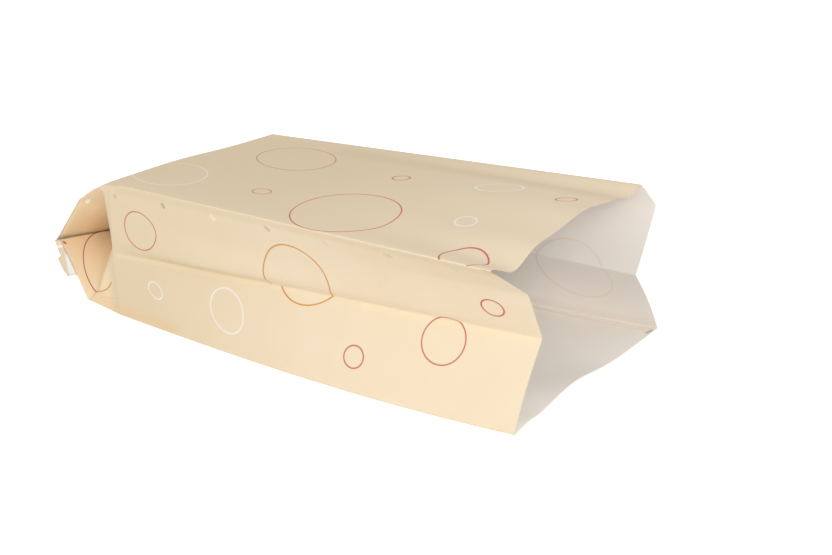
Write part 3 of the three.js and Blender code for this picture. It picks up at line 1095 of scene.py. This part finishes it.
@dataclass
class MouthTeeth:
    """The fine serrated cut of the mouth."""

    pitch: float = 1.25
    depth: float = 0.4
    thickness: float = 0.06
    radius_share: float = 0.577
    depth_share: float = 1.5

    def tree(self, material: bpy.types.Material) -> bpy.types.NodeTree:
        """Geometry Nodes that set one tooth after another along the rim.

        Args:
            material: Finish of the teeth.

        Returns:
            The tree.
        """
        tree = bpy.data.node_groups.new("mouth_teeth", "GeometryNodeTree")
        face = tree.interface
        face.new_socket(name="Geometry", in_out="INPUT", socket_type="NodeSocketGeometry")
        for label, value in (("Pitch", self.pitch), ("Depth", self.depth), ("Thickness", self.thickness)):
            socket = face.new_socket(name=label, in_out="INPUT", socket_type="NodeSocketFloat")
            socket.default_value = value * MM
        face.new_socket(name="Geometry", in_out="OUTPUT", socket_type="NodeSocketGeometry")
        n = NodeSheet(tree)
        given = tree.nodes.new("NodeGroupInput").outputs
        sink = tree.nodes.new("NodeGroupOutput")
        curve = n.out("GeometryNodeMeshToCurve", {"Mesh": given["Geometry"]})
        points = n.out("GeometryNodeResampleCurve", {"Curve": curve, "Length": given["Pitch"]}, mode="LENGTH")
        radius = n.math("MULTIPLY", given["Pitch"], self.radius_share)
        tooth = n.out("GeometryNodeMeshCone", {"Vertices": 3, "Radius Top": radius, "Radius Bottom": radius,
                                               "Depth": given["Thickness"]})
        full_depth = n.math("MULTIPLY", radius, self.depth_share)
        flatter = n.math("DIVIDE", given["Depth"], full_depth)
        flat = n.out("ShaderNodeCombineXYZ", {0: flatter, 1: 1.0, 2: 1.0})
        normal, along = (n.out("GeometryNodeInputNamedAttribute", {"Name": label}, data_type="FLOAT_VECTOR")
                         for label in ("sheet_normal", "sheet_along"))
        upright = n.out("FunctionNodeAlignEulerToVector", {"Vector": normal}, axis="Z")
        turned = n.out("FunctionNodeAlignEulerToVector", {"Rotation": upright, "Vector": along},
                       axis="X", pivot_axis="Z")
        teeth = n.out("GeometryNodeInstanceOnPoints",
                      {"Points": points, "Instance": tooth, "Rotation": turned, "Scale": flat})
        whole = n.out("GeometryNodeRealizeInstances", {"Geometry": teeth})
        dressed = n.out("GeometryNodeSetMaterial", {"Geometry": whole, "Material": material})
        tree.links.new(dressed, sink.inputs[0])
        return tree

    def build(self, place: SheetMesh, material: bpy.types.Material) -> bpy.types.Object:
        """The teeth as one piece on the rim.

        Args:
            place: The placed sheet.
            material: Finish of the teeth.

        Returns:
            The new piece.
        """
        rim = place.points[0]
        along = rim - place.points[1]
        along /= np.linalg.norm(along, axis=1)[:, None]
        step = np.roll(rim, -1, axis=0) - np.roll(rim, 1, axis=0)
        normal = np.cross(step, along)
        normal /= np.linalg.norm(normal, axis=1)[:, None]
        count = len(rim)
        base = rim - normal * (self.thickness / 2)
        mesh = bpy.data.meshes.new("mouth_teeth")
        mesh.from_pydata(place.placed(base).tolist(), [(i, (i + 1) % count) for i in range(count)], [])
        for label, values in (("sheet_normal", normal), ("sheet_along", along)):
            mesh.attributes.new(label, "FLOAT_VECTOR", "POINT").data.foreach_set("vector", values.ravel())
        piece = new_object("mouth_teeth", mesh)
        modifier = piece.modifiers.new("teeth", "NODES")
        modifier.node_group = self.tree(material)
        return apply_modifiers(piece)


@dataclass(frozen=True)
class Lamp:
    """A square soft lamp: where it hangs, what it points at and its side, in metres, and its watts."""

    name: str
    place: Place
    aim: Place
    size: float
    power: float

    def build(self) -> None:
        """Hangs the lamp in the scene."""
        data = bpy.data.lights.new(self.name, "AREA")
        data.shape = "SQUARE"
        data.size = self.size
        data.energy = self.power
        lamp = new_object(self.name, data)
        way = Vector(self.aim) - Vector(self.place)
        lamp.rotation_euler = way.to_track_quat("-Z", "Y").to_euler()
        lamp.location = self.place


LAMPS = (
    Lamp("key", (1.05, -0.85, 0.75), (0.08, 0, 0.03), 0.8, 4.9),
    Lamp("front_fill", (0.4, -0.9, 0.35), (0.08, 0, 0.03), 0.6, 0.8),
    Lamp("mouth_fill", (0.55, -0.46, 0.3), (0.12, 0.01, 0.03), 0.3, 0.85),
    Lamp("end_fill", (-0.5, -0.3, 0.08), (-0.1, 0, 0.03), 0.3, 0.26),
)


def seen_directly(n: NodeSheet) -> bpy.types.NodeSocket:
    """Whether a surface is seen, straight, in a gloss or through glass, and does not only give light.

    Args:
        n: Nodes of the material or the world.

    Returns:
        1 where it is seen, and 0 elsewhere.
    """
    path = n.node("ShaderNodeLightPath")
    seen = n.math("MAXIMUM", path.outputs["Is Camera Ray"], path.outputs["Is Glossy Ray"])
    return n.math("MAXIMUM", seen, path.outputs["Is Transmission Ray"])


@dataclass
class Studio:
    """The camera of the photograph, the lamps, and a white floor."""

    lens_px: float = 1078.0
    image: tuple[int, int] = (832, 555)
    azimuth: float = 36.54
    elevation: float = 22.19
    roll: float = 0.48
    eye_mm: Place = (413.9, -311.6, 212.3)
    world_light: float = 0.75
    floor_size: float = 6.0
    floor_white: float = 0.86
    floor_glow: float = 0.55

    def camera(self, shift_mm: np.ndarray) -> None:
        """Stands the camera where the photograph was taken from.

        Args:
            shift_mm: The sheet's own origin in the row's frame.
        """
        a, e, r = (math.radians(v) for v in (self.azimuth, self.elevation, self.roll))
        back = Vector((math.sin(a) * math.cos(e), -math.cos(a) * math.cos(e), math.sin(e)))
        right = Vector((math.cos(a), math.sin(a), 0))
        down = (-back).cross(right)
        right_rolled = math.cos(r) * right + math.sin(r) * down
        down_rolled = -math.sin(r) * right + math.cos(r) * down
        turn = Matrix((right_rolled, -down_rolled, back)).transposed()
        data = bpy.data.cameras.new("camera")
        data.sensor_width = 36
        data.lens = self.lens_px / self.image[0] * data.sensor_width
        data.clip_start = 0.01
        camera = new_object("camera", data)
        eye = Vector((np.array(self.eye_mm) + shift_mm) * MM)
        camera.matrix_world = Matrix.Translation(eye) @ turn.to_4x4()
        bpy.context.scene.camera = camera

    def floor(self) -> None:
        """A white floor that keeps the bag's soft shadow."""
        mesh = bpy.data.meshes.new("floor")
        half = self.floor_size / 2
        mesh.from_pydata([(-half, -half, 0), (half, -half, 0), (half, half, 0), (-half, half, 0)], [],
                         [(0, 1, 2, 3)])
        piece = new_object("floor", mesh)
        made = bpy.data.materials.new("white_floor")
        made.use_nodes = True
        tree = made.node_tree
        n = NodeSheet(tree)
        n.fill(tree.nodes["Principled BSDF"], {
            "Base Color": (*[self.floor_white] * 3, 1), "Roughness": 0.9, "Specular IOR Level": SPECULAR,
            "Emission Color": (1, 1, 1, 1),
            "Emission Strength": n.math("MULTIPLY", seen_directly(n), self.floor_glow)})
        mesh.materials.append(made)

    def world(self) -> None:
        """White surroundings: full white to the camera, plain light for everything else."""
        made = bpy.data.worlds.new("studio")
        made.use_nodes = True
        tree = made.node_tree
        n = NodeSheet(tree)
        level = n.math("ADD", n.math("MULTIPLY", seen_directly(n), 1 - self.world_light), self.world_light)
        n.fill(tree.nodes["Background"], {"Color": (1, 1, 1, 1), "Strength": level})
        bpy.context.scene.world = made

    def build(self, shift_mm: np.ndarray) -> None:
        """Everything round the bag.

        Args:
            shift_mm: The sheet's own origin in the row's frame.
        """
        self.camera(shift_mm)
        self.world()
        for lamp in LAMPS:
            lamp.build()
        self.floor()


OUTSIDE = PaperFinish("bag_outside", srgb(233, 216, 189), srgb(229, 211, 182), 0.62, PRINTS, OUTSIDE_MARKS_AND_PAINTED_LIGHT)
INSIDE = PaperFinish("bag_inside", srgb(251, 245, 238), srgb(249, 242, 233), 0.7, SHOW_THROUGH, INNER_MARKS_AND_PAINTED_SHADE,
                     show=0.6)
CUT = PaperFinish("bag_cut_edge", srgb(226, 210, 184), srgb(222, 206, 180), 0.8)


def main() -> None:
    """Builds the bag and the studio."""
    logging.basicConfig(level=logging.INFO)
    bpy.context.scene.view_settings.view_transform = "Standard"
    groups = ShaderGroups()
    materials = [finish.material(groups) for finish in (OUTSIDE, INSIDE, CUT)]
    place = SheetMesh(OpenSheet())
    bag = place.build("folded_sheet", materials)
    teeth = MouthTeeth().build(place, materials[Face.CUT.value])
    for piece in (bag, teeth):
        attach(piece, BODY)
        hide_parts(NODE)
        LOG.info("%s: %d faces", piece.name, len(piece.data.polygons))
    Studio().build(place.shift)


if __name__ == "__main__":
    main()
